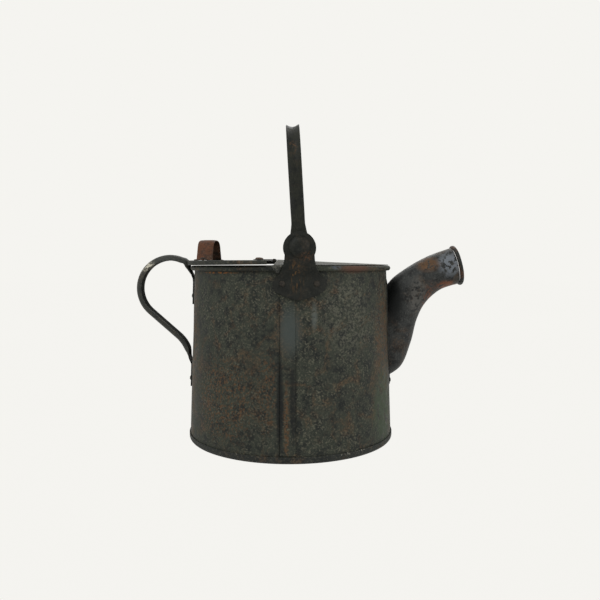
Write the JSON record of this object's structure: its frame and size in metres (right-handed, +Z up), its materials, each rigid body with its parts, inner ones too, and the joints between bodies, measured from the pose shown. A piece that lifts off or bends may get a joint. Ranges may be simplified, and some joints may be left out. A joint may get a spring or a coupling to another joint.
{
  "type": "watering can",
  "caption": "Round sheet-iron watering can with a side spout, back handle, swinging bail handle, fixed half cover and hinged half lid with a lifting strap.",
  "frame": {"origin": "centre of the flat underside, on the floor", "axes": "+X towards the spout, -X towards the back handle, +Z up; -Y is the right-hand side"},
  "size_m": [0.3876, 0.2554, 0.3514],
  "materials": {
    "body_iron": "dull aged galvanised sheet, dark with rust and pale mottling",
    "cover_iron": "dull aged sheet, dusty on the slopes",
    "spout_iron": "worn dark sheet with a blue-grey bloom near the mouth",
    "handle_iron": "smooth dark grip, worn through on the shoulder",
    "black_iron": "near-black forged iron with rust streaks",
    "rusty_iron": "red-brown rusted strap",
    "rivet_iron": "dark hammered rivets and wire"
  },
  "bodies": {
    "can": {"body_front_sheet": "body_iron", "body_back_sheet": "body_iron", "rim_wire": "rivet_iron", "bottom_pan": "body_iron", "spout_root_flange": "body_iron", "spout_flange_rivet": "rivet_iron", "spout_shell_right": "spout_iron", "spout_shell_left": "spout_iron", "spout_lip_bead": "spout_iron", "spout_lip_wire": "rivet_iron", "back_handle": "handle_iron", "handle_rivet_top": "rivet_iron", "handle_rivet_bottom": "rivet_iron", "ear_right": "black_iron", "ear_left": "black_iron", "pivot_rivet_right": "black_iron", "pivot_rivet_left": "black_iron", "pivot_washer_right": "rivet_iron", "pivot_washer_left": "rivet_iron", "ear_rivet_right_back": "rivet_iron", "ear_rivet_right_front": "rivet_iron", "ear_rivet_left_back": "rivet_iron", "ear_rivet_left_front": "rivet_iron", "top_cover": "cover_iron", "hinge_leaf_cover": "black_iron", "hinge_pin": "rivet_iron", "cover_leaf_rivet_right": "rivet_iron", "cover_leaf_rivet_left": "rivet_iron"},
    "lid": {"lid": "cover_iron", "hinge_leaf_lid": "black_iron", "lid_lift_strap": "rusty_iron", "lid_leaf_rivet_right": "rivet_iron", "lid_leaf_rivet_left": "rivet_iron", "strap_rivet_right": "rivet_iron", "strap_rivet_left": "rivet_iron"},
    "bail": {"bail_handle": "black_iron"}
  },
  "joints": [
    {"name": "lid_hinge", "type": "hinge", "parent": "can", "child": "lid", "pos_m": [-0.0191, 0, 0.2087], "axis": [0, 1, 0], "range_deg": [0, 140]},
    {"name": "bail_swing", "type": "hinge", "parent": "can", "child": "bail", "pos_m": [0.0106, 0, 0.2215], "axis": [0, 1, 0], "range_deg": [-84, 94]}
  ]
}
